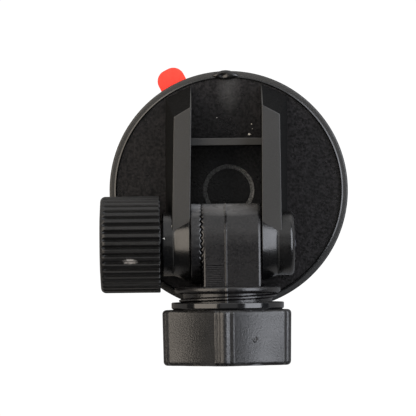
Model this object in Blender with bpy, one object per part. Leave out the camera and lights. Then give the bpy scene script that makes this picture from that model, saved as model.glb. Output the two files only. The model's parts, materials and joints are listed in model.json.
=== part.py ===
"""Adhesive windscreen mount of a dash camera: a stuck-on disc with two webs, a toothed tilt hinge
clamped by a knurled knob, and a split ball socket closed by a collar nut.

Frame: the origin is the centre of the release liner's underside, on the glass. +Z points away from
the glass, the neck of the socket points along -Y, and the hinge axis is parallel to X.
"""

from math import asin, atan2, cos, hypot, pi, radians, sin, sqrt

import bmesh
import bpy

# Driving dimensions, in metres.
FIT_GAP = 0.0003

LINER_RADIUS = 0.0290
LINER_THICKNESS = 0.0003
TAB_AZIMUTH = radians(117)
TAB_HALF_WIDTH = 0.0036
TAB_REACH = 0.0342
TAB_CORNER = 0.0028
TAPE_RADIUS = 0.0285
TAPE_THICKNESS = 0.0010

DISC_RADIUS = 0.0300
DISC_UNDERSIDE = LINER_THICKNESS + TAPE_THICKNESS + 2 * FIT_GAP
FLOOR_THICKNESS = 0.0018
RIM_WIDTH = 0.0018
RIM_HEIGHT = 0.0008
BOSS_RING_RADIUS = 0.0064
BOSS_RING_WALL = 0.0009
BOSS_RING_HEIGHT = 0.0010

HINGE_Y = -0.0134
HINGE_Z = 0.0218
EAR_GAP_LEFT = -0.0098
EAR_GAP_RIGHT = 0.0080
BOSS_LEFT = -0.01675
BOSS_RIGHT = 0.0161
BOSS_RADIUS = 0.0079
EAR_RADIUS = 0.0093
EAR_CONE_ANGLE = radians(20)
WEB_RISE = 0.0073
WEB_TOP_REACH = 0.0226
WEB_FOOT_REACH = 0.0281
WEB_LEAN_NEAR = 0.0017
WEB_LEAN_FAR = 0.0022
LEFT_WEB = (EAR_GAP_LEFT - 0.00005, -0.0091, -0.0143, -0.0135)
RIGHT_WEB = (EAR_GAP_RIGHT + 0.00005, 0.0083, 0.0130, 0.0128)
RIB_FRONT = 0.01125
RIB_BACK = 0.0131
RIB_TOP = 0.0240

BARREL_RADIUS = 0.0100
TOOTH_COUNT = 40
TOOTH_HEIGHT = 0.00042
TIP_CLEARANCE = 0.00004
TOOTH_INNER_RADIUS = 0.0068
RING_BACK = -0.00945
RING_VALLEY = -0.00741
KEY_TURNS = (radians(90), radians(270))
KEY_HALF_WIDTH = 0.0013
KEY_INNER_RADIUS = 0.0044
KEY_OUTER_RADIUS = 0.0072
KEY_LENGTH = 0.0020
KEY_ROOT = 0.0005

NECK_X = -0.0006
NECK_HALF_DEPTH = 0.0096
FLANGE_RADIUS = 0.0132
FLANGE_START = 0.0105
FLANGE_THICKNESS = 0.0017
THREAD_CREST_RADIUS = 0.0121
THREAD_ROOT_RADIUS = 0.0113
THREAD_PITCH = 0.0025
THREAD_TURNS = 3
BALL_RADIUS = 0.0085
BALL_CENTRE = 0.0225
SOCKET_RADIUS = BALL_RADIUS + 0.00015
SOCKET_END = 0.0270
FINGER_END_RADIUS = 0.0096
FINGER_START = 0.0205
SLOT_WIDTH = 0.0016
SLOT_COUNT = 4

NUT_NECK_RADIUS = 0.0140
NUT_NECK_START = 0.0145
NUT_BODY_START = 0.0163
NUT_END = 0.0301
NUT_RIDGE_RADIUS = 0.01675
NUT_SCALLOP_RADIUS = 0.0136
NUT_RIDGE_HALF_ANGLE = radians(7)
NUT_RIDGES = 5
NUT_FIRST_RIDGE = radians(-2)
NUT_MOUTH_RADIUS = 0.0082
NUT_LIP = 0.0014

SHANK_RADIUS = 0.0025
HEAD_ACROSS_FLATS = 0.0080
HEAD_THICKNESS = 0.00345
HEAD_PROUD = 0.00035
SHANK_END = -0.0270

KNOB_RADIUS = 0.0120
KNOB_START = -0.0323
KNOB_END = -0.01724
KNOB_CORNER = 0.0013
KNOB_RIBS = 38
KNOB_GROOVE_DEPTH = 0.0005
INSERT_RADIUS = 0.0040
INSERT_START = -0.0275
INSERT_END = -0.0188
WASHER_RADIUS = 0.0050
WASHER_THICKNESS = 0.0010
WASHER_FACE = -0.0172

# Heights and lengths that follow from them.
FLOOR = DISC_UNDERSIDE + FLOOR_THICKNESS
RIM_TOP = FLOOR + RIM_HEIGHT
IN_FLOOR = FLOOR - 0.0010
WEB_TOP = HINGE_Z + WEB_RISE
EAR_CONE_LENGTH = (EAR_RADIUS - BOSS_RADIUS) / sin(EAR_CONE_ANGLE) * cos(EAR_CONE_ANGLE)
KNUCKLE_LEFT = RING_VALLEY + 2 * TOOTH_HEIGHT + TIP_CLEARANCE
KNUCKLE_RIGHT = EAR_GAP_RIGHT - FIT_GAP
HEAD_SEAT = BOSS_RIGHT + HEAD_PROUD - HEAD_THICKNESS
SHANK_HOLE_RADIUS = SHANK_RADIUS + FIT_GAP


def clear_scene():
    for thing in list(bpy.data.objects):
        bpy.data.objects.remove(thing, do_unlink=True)


def finish(name, colour, roughness, metallic=0.0):
    material = bpy.data.materials.new(name)
    material.use_nodes = True
    shader = material.node_tree.nodes["Principled BSDF"]
    shader.inputs["Base Color"].default_value = (*colour, 1.0)
    shader.inputs["Roughness"].default_value = roughness
    shader.inputs["Metallic"].default_value = metallic
    return material


def solid(name, points, faces, material=None):
    """One closed body with its faces pointing out, shaded smooth between its sharp edges."""
    shape = bmesh.new()
    corners = [shape.verts.new(point) for point in points]
    for face in faces:
        shape.faces.new([corners[index] for index in face])
    bmesh.ops.recalc_face_normals(shape, faces=shape.faces)
    mesh = bpy.data.meshes.new(name)
    shape.to_mesh(mesh)
    shape.free()
    thing = bpy.data.objects.new(name, mesh)
    bpy.context.scene.collection.objects.link(thing)
    if material:
        mesh.materials.append(material)
        mesh.shade_smooth()
        mesh.set_sharp_from_angle(angle=radians(35))
    return thing


# An axis is (origin, along, first, second): turned pieces measure their length along it, and their
# angle from the first direction towards the second.
STANDING = ((0.0, 0.0, 0.0), (0, 0, 1), (1, 0, 0), (0, 1, 0))
HINGE = ((0.0, HINGE_Y, HINGE_Z), (1, 0, 0), (0, 1, 0), (0, 0, 1))
NECK = ((NECK_X, HINGE_Y, HINGE_Z), (0, -1, 0), (0, 0, 1), (1, 0, 0))


def place(axis, length, radius, angle):
    origin, along, first, second = axis
    return tuple(
        origin[i] + length * along[i] + radius * (cos(angle) * first[i] + sin(angle) * second[i])
        for i in range(3)
    )


def turned(name, axis, profile, segments, material=None):
    """Turns a closed profile of (length, radius) points. A point of radius 0 is a pole."""
    points = []
    rows = []
    for length, radius in profile:
        steps = segments if radius > 0 else 1
        rows.append([len(points) + step for step in range(steps)])
        for step in range(steps):
            points.append(place(axis, length, radius, 2 * pi * step / segments))
    faces = []
    for row, after in zip(rows, rows[1:] + rows[:1]):
        if len(row) == 1 and len(after) == 1:
            continue
        for step in range(segments):
            ahead = (step + 1) % segments
            if len(row) == 1:
                faces.append((row[0], after[step], after[ahead]))
            elif len(after) == 1:
                faces.append((row[step], row[ahead], after[0]))
            else:
                faces.append((row[step], row[ahead], after[ahead], after[step]))
    return solid(name, points, faces, material)


def lofted(name, sections, material=None):
    """A skin through sections of equal count, closed by a flat cap at each end."""
    count = len(sections[0])
    points = [point for section in sections for point in section]
    faces = [tuple(range(count)), tuple(range(len(points) - count, len(points)))]
    for level in range(len(sections) - 1):
        for step in range(count):
            ahead = (step + 1) % count
            near = level * count
            far = near + count
            faces.append((near + step, near + ahead, far + ahead, far + step))
    return solid(name, points, faces, material)


def flat_outline(outline, height):
    return [(x, y, height) for x, y in outline]


def helper(thing):
    thing.hide_render = True
    thing.display_type = "WIRE"
    return thing


def combine(thing, operation, other):
    """Joins the helper to the thing, or cuts it out of the thing."""
    modifier = thing.modifiers.new(other.name, "BOOLEAN")
    modifier.operation = operation
    modifier.solver = "EXACT"
    modifier.object = helper(other)


def release_liner(material):
    """A round film with a rounded tongue that reaches past the disc's rim."""
    root = asin(TAB_HALF_WIDTH / LINER_RADIUS)
    arc_steps = 64
    start = TAB_AZIMUTH + root
    outline = [
        (LINER_RADIUS * cos(start + step * (2 * pi - 2 * root) / arc_steps),
         LINER_RADIUS * sin(start + step * (2 * pi - 2 * root) / arc_steps))
        for step in range(arc_steps + 1)
    ]
    corner_steps = 6
    reach = TAB_REACH - TAB_CORNER
    side = TAB_HALF_WIDTH - TAB_CORNER
    for sign in (-1, 1):
        for step in range(corner_steps + 1):
            turn = (step if sign < 0 else corner_steps - step) * pi / 2 / corner_steps
            out = reach + TAB_CORNER * sin(turn)
            across = sign * (side + TAB_CORNER * cos(turn))
            outline.append((out * cos(TAB_AZIMUTH) - across * sin(TAB_AZIMUTH),
                            out * sin(TAB_AZIMUTH) + across * cos(TAB_AZIMUTH)))
    return lofted(
        "release_liner",
        [flat_outline(outline, 0.0), flat_outline(outline, LINER_THICKNESS)],
        material,
    )


def foam_tape_pad(material):
    low = LINER_THICKNESS + FIT_GAP
    high = low + TAPE_THICKNESS
    profile = [(low, 0.0), (low, TAPE_RADIUS), (high, TAPE_RADIUS), (high, 0.0)]
    return turned("foam_tape_pad", STANDING, profile, 64, material)


def ear(name, stations):
    """An arched lug: a half-round top over straight sides that run down into the floor."""
    sections = []
    arc_steps = 24
    for x, radius in stations:
        section = [(x, HINGE_Y + radius, IN_FLOOR)]
        for step in range(arc_steps + 1):
            turn = pi * step / arc_steps
            section.append((x, HINGE_Y + radius * cos(turn), HINGE_Z + radius * sin(turn)))
        section.append((x, HINGE_Y - radius, IN_FLOOR))
        sections.append(section)
    return lofted(name, sections)


def web(name, side, inner_near, inner_far, outer_near, outer_far):
    """A tall wall with a sloped far end, given by where its top's four corners stand in X. Its outer
    face leans out towards the floor."""
    top = [
        (outer_far, sqrt(WEB_TOP_REACH**2 - outer_far**2)),
        (inner_far, sqrt(WEB_TOP_REACH**2 - inner_far**2)),
        (inner_near, HINGE_Y),
        (outer_near, HINGE_Y),
    ]
    foot_far = outer_far + side * WEB_LEAN_FAR
    foot = [
        (foot_far, sqrt(WEB_FOOT_REACH**2 - foot_far**2)),
        (inner_far, sqrt(WEB_FOOT_REACH**2 - inner_far**2)),
        (inner_near, HINGE_Y),
        (outer_near + side * WEB_LEAN_NEAR, HINGE_Y),
    ]
    sections = [flat_outline(foot, IN_FLOOR), flat_outline(foot, FLOOR), flat_outline(top, WEB_TOP)]
    return lofted(name, sections)


def base_bracket(material):
    """The moulding that the tape holds: recessed disc, ring boss, two webs, cross rib and ears."""
    boss_inner = BOSS_RING_RADIUS - BOSS_RING_WALL
    profile = [
        (DISC_UNDERSIDE, 0.0),
        (DISC_UNDERSIDE, DISC_RADIUS),
        (RIM_TOP, DISC_RADIUS),
        (RIM_TOP, DISC_RADIUS - RIM_WIDTH),
        (FLOOR, DISC_RADIUS - RIM_WIDTH - 0.0002),
        (FLOOR, BOSS_RING_RADIUS),
        (FLOOR + BOSS_RING_HEIGHT, BOSS_RING_RADIUS),
        (FLOOR + BOSS_RING_HEIGHT, boss_inner),
        (FLOOR, boss_inner),
        (FLOOR, 0.0),
    ]
    bracket = turned("base_bracket", STANDING, profile, 96, material)
    chamfer = 0.0004
    left = ear("left_ear_solid", [
        (BOSS_LEFT, BOSS_RADIUS - chamfer),
        (BOSS_LEFT + chamfer, BOSS_RADIUS),
        (EAR_GAP_LEFT - EAR_CONE_LENGTH, BOSS_RADIUS),
        (EAR_GAP_LEFT, EAR_RADIUS),
    ])
    right = ear("right_ear_solid", [
        (EAR_GAP_RIGHT, EAR_RADIUS),
        (EAR_GAP_RIGHT + EAR_CONE_LENGTH, BOSS_RADIUS),
        (BOSS_RIGHT - chamfer, BOSS_RADIUS),
        (BOSS_RIGHT, BOSS_RADIUS - chamfer),
    ])
    sink = 0.0006
    rib_plan = [
        (EAR_GAP_LEFT - sink, RIB_FRONT),
        (EAR_GAP_RIGHT + sink, RIB_FRONT),
        (EAR_GAP_RIGHT + sink, RIB_BACK),
        (EAR_GAP_LEFT - sink, RIB_BACK),
    ]
    rib = lofted("rib_solid", [flat_outline(rib_plan, IN_FLOOR), flat_outline(rib_plan, RIB_TOP)])
    left_wall = web("left_web_solid", -1, *LEFT_WEB)
    right_wall = web("right_web_solid", 1, *RIGHT_WEB)
    for other in (left_wall, right_wall, rib, left, right):
        combine(bracket, "UNION", other)

    reach = 0.002
    bore = turned("ear_bore_cutter", HINGE, [
        (BOSS_LEFT - reach, 0.0),
        (BOSS_LEFT - reach, SHANK_HOLE_RADIUS),
        (BOSS_RIGHT + reach, SHANK_HOLE_RADIUS),
        (BOSS_RIGHT + reach, 0.0),
    ], 24)
    pocket_radius = (HEAD_ACROSS_FLATS / 2 + FIT_GAP) / cos(pi / 6)
    pocket = turned("head_pocket_cutter", HINGE, [
        (HEAD_SEAT - FIT_GAP, 0.0),
        (HEAD_SEAT - FIT_GAP, pocket_radius),
        (BOSS_RIGHT + reach, pocket_radius),
        (BOSS_RIGHT + reach, 0.0),
    ], 6)
    combine(bracket, "DIFFERENCE", bore)
    combine(bracket, "DIFFERENCE", pocket)
    for number, turn in enumerate(KEY_TURNS):
        slot = key_block(f"key_slot_cutter_{number}", turn, FIT_GAP)
        combine(bracket, "DIFFERENCE", slot)
    return bracket


# Two keys on the detent ring's back slide in slots of the left ear.


def key_block(name, turn, margin):
    """A key as it stands at that turn about the hinge, or the slot that clears it by a margin."""
    far = RING_BACK - KEY_LENGTH - margin
    near = RING_BACK + (KEY_ROOT if margin == 0 else 2 * KEY_ROOT)
    low = KEY_INNER_RADIUS - margin
    high = KEY_OUTER_RADIUS + margin
    half = KEY_HALF_WIDTH + margin
    corners = [(hypot(r, w), atan2(w, r) + turn) for r, w in
               ((low, -half), (high, -half), (high, half), (low, half))]
    return lofted(name, [[place(HINGE, x, r, a) for r, a in corners] for x in (far, near)])


def toothed_ring(name, profile, valley, facing, material=None):
    """Turns a closed profile of (length, radius) points, in which a length of None is the face with
    V-shaped radial teeth. Their tips stand off the valley plane by one tooth height."""
    steps = 2 * TOOTH_COUNT
    points = []
    for length, radius in profile:
        for step in range(steps):
            tip = TOOTH_HEIGHT if (step % 2 == 0) == (facing > 0) else 0.0
            x = valley + facing * tip if length is None else length
            points.append(place(HINGE, x, radius, 2 * pi * step / steps))
    faces = []
    for row in range(len(profile)):
        for step in range(steps):
            ahead = (step + 1) % steps
            this = row * steps
            that = (row + 1) % len(profile) * steps
            faces.append((this + step, this + ahead, that + ahead, that + step))
    return solid(name, points, faces, material)


def detent_ring(material):
    """The toothed ring, keyed so that it slides along the bolt but doesn't turn."""
    hollow = RING_VALLEY - 0.0005
    ring = toothed_ring("detent_ring", [
        (RING_BACK, SHANK_HOLE_RADIUS),
        (RING_BACK, BARREL_RADIUS),
        (None, BARREL_RADIUS),
        (None, TOOTH_INNER_RADIUS),
        (hollow, TOOTH_INNER_RADIUS - 0.0003),
        (hollow, SHANK_HOLE_RADIUS),
    ], RING_VALLEY, 1, material)
    for number, turn in enumerate(KEY_TURNS):
        combine(ring, "UNION", key_block(f"ring_key_solid_{number}", turn, 0.0))
    return ring


def tilt_knuckle(material):
    """The moving half of the hinge, with its neck, flange, threaded collar and split ball socket."""
    corner = hypot(FLANGE_START, NECK_HALF_DEPTH)
    tangent = atan2(NECK_HALF_DEPTH, FLANGE_START) + asin(
        sqrt(corner**2 - BARREL_RADIUS**2) / corner)
    arc_steps = 48
    outline = [(FLANGE_START + 0.0005, NECK_HALF_DEPTH)]
    for step in range(arc_steps + 1):
        turn = tangent + step * (2 * pi - 2 * tangent) / arc_steps
        outline.append((BARREL_RADIUS * cos(turn), BARREL_RADIUS * sin(turn)))
    outline.append((FLANGE_START + 0.0005, -NECK_HALF_DEPTH))
    chamfer = 0.0008
    tooth_root_step = 0.00008
    stations = ((KNUCKLE_LEFT + tooth_root_step, 1.0), (KNUCKLE_RIGHT - chamfer, 1.0),
                (KNUCKLE_RIGHT, 1.0 - chamfer / BARREL_RADIUS))
    knuckle = lofted("tilt_knuckle", [
        [(x, HINGE_Y - along, HINGE_Z + scale * up) for along, up in outline]
        for x, scale in stations
    ], material)
    sunk = KNUCKLE_LEFT + 0.0005
    tooth_outer_radius = BARREL_RADIUS - 0.0001
    teeth = toothed_ring("knuckle_teeth_solid", [
        (sunk, TOOTH_INNER_RADIUS),
        (None, TOOTH_INNER_RADIUS),
        (None, tooth_outer_radius),
        (sunk, tooth_outer_radius),
    ], KNUCKLE_LEFT, -1)
    combine(knuckle, "UNION", teeth)

    edge = 0.0004
    flange_end = FLANGE_START + FLANGE_THICKNESS
    profile = [
        (FLANGE_START, 0.0),
        (FLANGE_START, FLANGE_RADIUS - edge),
        (FLANGE_START + edge, FLANGE_RADIUS),
        (flange_end - edge, FLANGE_RADIUS),
        (flange_end, FLANGE_RADIUS - edge),
        (flange_end, THREAD_ROOT_RADIUS),
    ]
    for turn in range(THREAD_TURNS):
        crest = flange_end + (turn + 0.5) * THREAD_PITCH
        profile += [
            (crest - 0.0006, THREAD_ROOT_RADIUS),
            (crest - 0.0002, THREAD_CREST_RADIUS),
            (crest + 0.0002, THREAD_CREST_RADIUS),
            (crest + 0.0006, THREAD_ROOT_RADIUS),
        ]
    profile += [(FINGER_START, THREAD_ROOT_RADIUS), (SOCKET_END, FINGER_END_RADIUS)]
    mouth = asin((SOCKET_END - BALL_CENTRE) / SOCKET_RADIUS)
    sphere_steps = 9
    for step in range(sphere_steps + 1):
        turn = mouth - step * (mouth + pi / 2) / sphere_steps
        radius = SOCKET_RADIUS * cos(turn) if step < sphere_steps else 0.0
        profile.append((BALL_CENTRE + SOCKET_RADIUS * sin(turn), radius))
    combine(knuckle, "UNION", turned("socket_solid", NECK, profile, 56))

    bore = turned("knuckle_bore_cutter", HINGE, [
        (KNUCKLE_LEFT - 0.002, 0.0),
        (KNUCKLE_LEFT - 0.002, SHANK_HOLE_RADIUS),
        (KNUCKLE_RIGHT + 0.002, SHANK_HOLE_RADIUS),
        (KNUCKLE_RIGHT + 0.002, 0.0),
    ], 24)
    combine(knuckle, "DIFFERENCE", bore)
    slot_root = BALL_CENTRE - 0.0050
    for number in range(SLOT_COUNT // 2):
        turn = radians(45) + number * pi / 2
        half = SLOT_WIDTH / 2
        reach = THREAD_CREST_RADIUS + 0.002
        corners = [(hypot(a, w), atan2(w, a) + turn) for a, w in
                   ((-reach, -half), (reach, -half), (reach, half), (-reach, half))]
        slot = lofted(f"finger_slot_cutter_{number}", [
            [place(NECK, length, r, a) for r, a in corners]
            for length in (slot_root, SOCKET_END + 0.002)
        ])
        combine(knuckle, "DIFFERENCE", slot)
    return knuckle


def nut_radius(angle):
    """Five rounded ridges with a hollow between each two, as a radius at that angle."""
    lobe = 2 * pi / NUT_RIDGES
    off = abs((angle - NUT_FIRST_RIDGE + lobe / 2) % lobe - lobe / 2)
    if off <= NUT_RIDGE_HALF_ANGLE:
        return NUT_RIDGE_RADIUS
    across = (off - NUT_RIDGE_HALF_ANGLE) / (lobe / 2 - NUT_RIDGE_HALF_ANGLE)
    dip = 1 - (1 - across) ** 2
    return NUT_RIDGE_RADIUS - dip * (NUT_RIDGE_RADIUS - NUT_SCALLOP_RADIUS)


def collar_nut(material):
    """The nut that draws the socket's fingers in round the ball, with a round collar above it."""
    outline_steps = 80
    edge = 0.0008
    angles = [NUT_FIRST_RIDGE + 2 * pi * step / outline_steps for step in range(outline_steps)]
    stations = ((NUT_BODY_START, -edge), (NUT_BODY_START + edge, 0.0), (NUT_END - edge, -0.0002),
                (NUT_END, -edge - 0.0002))
    nut = lofted("collar_nut", [
        [place(NECK, length, nut_radius(angle) + grow, angle) for angle in angles]
        for length, grow in stations
    ], material)
    neck = turned("nut_collar_solid", NECK, [
        (NUT_NECK_START, 0.0),
        (NUT_NECK_START, NUT_NECK_RADIUS - 0.0003),
        (NUT_NECK_START + 0.0003, NUT_NECK_RADIUS),
        (NUT_BODY_START + 0.0020, NUT_NECK_RADIUS - 0.0006),
        (NUT_BODY_START + 0.0020, 0.0),
    ], 64)
    combine(nut, "UNION", neck)
    bore = THREAD_CREST_RADIUS + FIT_GAP
    cavity = turned("nut_cavity_cutter", NECK, [
        (NUT_NECK_START - 0.002, 0.0),
        (NUT_NECK_START - 0.002, bore),
        (FINGER_START + FIT_GAP, bore),
        (SOCKET_END + 2 * FIT_GAP, FINGER_END_RADIUS + 2 * FIT_GAP),
        (NUT_END - NUT_LIP, FINGER_END_RADIUS),
        (NUT_END - NUT_LIP, NUT_MOUTH_RADIUS),
        (NUT_END + 0.002, NUT_MOUTH_RADIUS + 0.0010),
        (NUT_END + 0.002, 0.0),
    ], 64)
    combine(nut, "DIFFERENCE", cavity)
    return nut


def hinge_bolt(material):
    """A hexagon bolt whose head sits in the right boss, and whose tail runs into the knob."""
    head_radius = HEAD_ACROSS_FLATS / 2 / cos(pi / 6)
    head_end = HEAD_SEAT + HEAD_THICKNESS
    bevel = 0.0004
    bolt = turned("hinge_bolt", HINGE, [
        (HEAD_SEAT, 0.0),
        (HEAD_SEAT, head_radius),
        (head_end - bevel, head_radius),
        (head_end, head_radius - bevel),
        (head_end, 0.0),
    ], 6, material)
    shank = turned("shank_solid", HINGE, [
        (SHANK_END, 0.0),
        (SHANK_END, SHANK_RADIUS - bevel),
        (SHANK_END + bevel, SHANK_RADIUS),
        (HEAD_SEAT + 0.001, SHANK_RADIUS),
        (HEAD_SEAT + 0.001, 0.0),
    ], 24)
    combine(bolt, "UNION", shank)
    return bolt


def knob_washer(material):
    return turned("knob_washer", HINGE, [
        (WASHER_FACE - WASHER_THICKNESS, SHANK_HOLE_RADIUS),
        (WASHER_FACE - WASHER_THICKNESS, WASHER_RADIUS),
        (WASHER_FACE, WASHER_RADIUS),
        (WASHER_FACE, SHANK_HOLE_RADIUS),
    ], 32, material)


def knob_insert(material):
    return turned("knob_insert", HINGE, [
        (INSERT_START, SHANK_HOLE_RADIUS),
        (INSERT_START, INSERT_RADIUS),
        (INSERT_END, INSERT_RADIUS),
        (INSERT_END, SHANK_HOLE_RADIUS),
    ], 24, material)


def clamp_knob(material):
    """A cup-shaped knob with straight ribs, closed at its outer end by a rounded corner."""
    stations = (
        (KNOB_START, KNOB_RADIUS - KNOB_CORNER - 0.0010, 0.0),
        (KNOB_START + 0.3 * KNOB_CORNER, KNOB_RADIUS - 0.45 * KNOB_CORNER, 0.0),
        (KNOB_START + KNOB_CORNER, KNOB_RADIUS, 1.0),
        (KNOB_END, KNOB_RADIUS, 1.0),
    )
    sections = []
    for x, radius, depth in stations:
        section = []
        for step in range(4 * KNOB_RIBS):
            in_groove = step % 4 in (2, 3)
            r = radius - (KNOB_GROOVE_DEPTH * depth if in_groove else 0.0)
            section.append(place(HINGE, x, r, 2 * pi * step / (4 * KNOB_RIBS)))
        sections.append(section)
    knob = lofted("clamp_knob", sections, material)
    recess = WASHER_FACE - WASHER_THICKNESS - FIT_GAP
    cavity = turned("knob_cavity_cutter", HINGE, [
        (INSERT_START - FIT_GAP, 0.0),
        (INSERT_START - FIT_GAP, INSERT_RADIUS + FIT_GAP),
        (recess, INSERT_RADIUS + FIT_GAP),
        (recess, WASHER_RADIUS + FIT_GAP),
        (KNOB_END + 0.002, WASHER_RADIUS + FIT_GAP),
        (KNOB_END + 0.002, 0.0),
    ], 32)
    combine(knob, "DIFFERENCE", cavity)
    return knob


def main():
    clear_scene()
    release_liner(finish("red_release_film", (1.0, 0.09, 0.05), 0.45))
    foam_tape_pad(finish("black_foam_tape", (0.02, 0.02, 0.02), 0.95))
    base_bracket(finish("black_abs_textured", (0.015, 0.015, 0.016), 0.50))
    detent_ring(finish("black_acetal", (0.018, 0.018, 0.018), 0.40))
    tilt_knuckle(finish("black_nylon", (0.016, 0.016, 0.017), 0.45))
    collar_nut(finish("black_nylon_nut", (0.018, 0.018, 0.018), 0.40))
    hinge_bolt(finish("blackened_steel", (0.05, 0.05, 0.05), 0.40, 1.0))
    knob_washer(finish("zinc_plated_steel", (0.60, 0.60, 0.62), 0.35, 1.0))
    knob_insert(finish("brass_insert", (0.70, 0.50, 0.22), 0.30, 1.0))
    clamp_knob(finish("black_abs_knob", (0.014, 0.014, 0.014), 0.50))


main()
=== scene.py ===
"""A dash camera's windscreen mount: stick-on disc, toothed tilt hinge, ribbed knob and ball socket.

The script follows the mount as it is put together. Lengths are in millimetres until a mesh is made.
"""

import json

import bmesh
import bpy
import numpy as np
from mathutils import Matrix, Vector


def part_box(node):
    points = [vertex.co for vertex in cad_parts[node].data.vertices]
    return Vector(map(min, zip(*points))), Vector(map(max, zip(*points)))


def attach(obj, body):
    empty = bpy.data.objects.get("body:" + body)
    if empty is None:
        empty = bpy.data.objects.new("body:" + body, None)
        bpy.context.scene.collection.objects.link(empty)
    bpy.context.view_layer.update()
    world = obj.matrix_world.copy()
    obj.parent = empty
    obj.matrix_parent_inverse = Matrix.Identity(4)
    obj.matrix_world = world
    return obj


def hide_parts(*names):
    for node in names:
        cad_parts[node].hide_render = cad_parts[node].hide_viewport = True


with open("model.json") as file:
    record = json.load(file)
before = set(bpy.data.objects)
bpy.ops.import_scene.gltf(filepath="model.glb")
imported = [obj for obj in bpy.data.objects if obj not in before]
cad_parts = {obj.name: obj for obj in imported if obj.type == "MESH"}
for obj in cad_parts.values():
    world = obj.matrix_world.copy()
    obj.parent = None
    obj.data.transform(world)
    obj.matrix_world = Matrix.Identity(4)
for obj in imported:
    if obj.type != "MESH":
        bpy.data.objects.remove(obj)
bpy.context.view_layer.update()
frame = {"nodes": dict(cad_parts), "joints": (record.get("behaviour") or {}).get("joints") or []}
joints = {joint["name"]: joint for joint in frame["joints"]}

# ---------------------------------------------------------------------------------------------------
# Camera. It looks squarely at the disc from far off, so that near parts are hardly larger, and it is
# turned a little about its own axis.
CAMERA_HEIGHT = 1.50
CAMERA_FOOT = (-0.00526, -0.00445)
CAMERA_TURN = np.radians(-0.6)
FRAME_WIDTH = 0.10467
RIM_LEVEL = 0.0045
bpy.context.scene.view_settings.view_transform = "Standard"
camera = bpy.data.objects.new("camera", bpy.data.cameras.new("camera"))
camera.location = (*CAMERA_FOOT, CAMERA_HEIGHT)
camera.rotation_euler = (0.0, 0.0, CAMERA_TURN)
camera.data.sensor_width = 36.0
camera.data.lens = camera.data.sensor_width * (CAMERA_HEIGHT - RIM_LEVEL) / FRAME_WIDTH
camera.data.clip_end = 10.0
bpy.context.scene.collection.objects.link(camera)
bpy.context.scene.camera = camera

# ---------------------------------------------------------------------------------------------------
# Base bracket. One shot of black ABS: a recessed disc with a raised rim, a ring boss, two tall webs
# tied by a cross rib, and two ears that carry the hinge. The tool's floor and walls are spark-eroded;
# the tops of webs, rib and rim are ground, and come out greyer; the ears are polished.
MM = 0.001
HINGE = np.array(joints["neck_tilt"]["pos_m"]) / MM * (0, 1, 1)
bracket_low, bracket_high = (np.array(corner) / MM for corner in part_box("base_bracket"))
UNDERSIDE = bracket_low[2]
DISC_RADIUS = bracket_high[0]
FLOOR = UNDERSIDE + 1.8
RIM_TOP = FLOOR + 0.8
WEB_TOP = HINGE[2] + 7.3

STANDING = np.array([(0, 0, 0), (0, 0, 1), (1, 0, 0), (0, 1, 0)], float)
ABOUT_HINGE = np.array([HINGE, (1, 0, 0), (0, 1, 0), (0, 0, 1)], float)


def around(axis, length, radius, turn):
    """Point = origin + length along the axis + radius at that turn, for whole arrays at once."""
    origin, along, first, second = axis
    length, radius, turn = np.broadcast_arrays(length, radius, turn)
    spoke = np.cos(turn)[..., None] * first + np.sin(turn)[..., None] * second
    return origin + length[..., None] * along + radius[..., None] * spoke


def rounded(corners, radii, steps=5):
    """A closed outline through 2-D corners, in which each corner gives way to an arc of its radius."""
    runs = []
    for index, radius in enumerate(radii):
        here = np.array(corners[index], float)
        if radius == 0:
            runs.append(here[None])
            continue
        back = np.array(corners[index - 1], float) - here
        ahead = np.array(corners[(index + 1) % len(corners)], float) - here
        reach = 0.49 * min(np.linalg.norm(back), np.linalg.norm(ahead))
        back /= np.linalg.norm(back)
        ahead /= np.linalg.norm(ahead)
        half = np.arccos(np.clip(back @ ahead, -1, 1)) / 2
        trim = min(radius / np.tan(half), reach)
        middle = back + ahead
        centre = here + middle / np.linalg.norm(middle) * trim / np.cos(half)
        swing = np.pi - 2 * half
        t = np.linspace(0, 1, steps + 1)[:, None]
        spokes = np.sin((1 - t) * swing) * (here + back * trim - centre)
        spokes = spokes + np.sin(t * swing) * (here + ahead * trim - centre)
        runs.append(centre + spokes / np.sin(swing))
    return np.concatenate(runs)


def turned(axis, profile, columns):
    """A profile of (length, radius) rows carried round an axis."""
    turn = np.linspace(0, 2 * np.pi, columns, endpoint=False)
    return around(axis, profile[:, :1], profile[:, 1:], turn[None])


def outward(outline):
    """Unit normals of a closed 2-D outline that runs counter-clockwise, from its neighbours."""
    along = np.roll(outline, -1, 0) - np.roll(outline, 1, 0)
    along /= np.maximum(np.linalg.norm(along, axis=1, keepdims=True), 1e-9)
    return np.stack([along[:, 1], -along[:, 0]], 1)


def wall(low, high, bottom, top, edge, slant=0.0):
    """A standing wall whose plan goes from one outline to another, with its top edge rounded over.
    Its top falls by the slant, in mm per mm, towards +X."""
    quarter = np.linspace(0, np.pi / 2, 6)
    heights = np.concatenate([[bottom], top - edge + edge * np.sin(quarter)])
    inset = np.concatenate([[0.0], edge - edge * np.cos(quarter)])
    rows = []
    for height, cut in zip(heights, inset):
        share = (height - bottom) / (top - bottom)
        plan = low + (high - low) * share
        plan = plan - outward(plan) * cut
        rows.append(np.column_stack([plan, np.full(len(plan), height)]))
    rows.insert(0, np.repeat(rows[0].mean(0)[None], len(low), 0))
    rows.append(np.repeat(rows[-1].mean(0)[None], len(low), 0))
    rows = np.array(rows)
    risen = (rows[..., 2] - bottom) / (top - bottom)
    rows[..., 2] -= slant * risen * (rows[..., 0] - high[:, 0].mean())
    return rows


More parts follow.
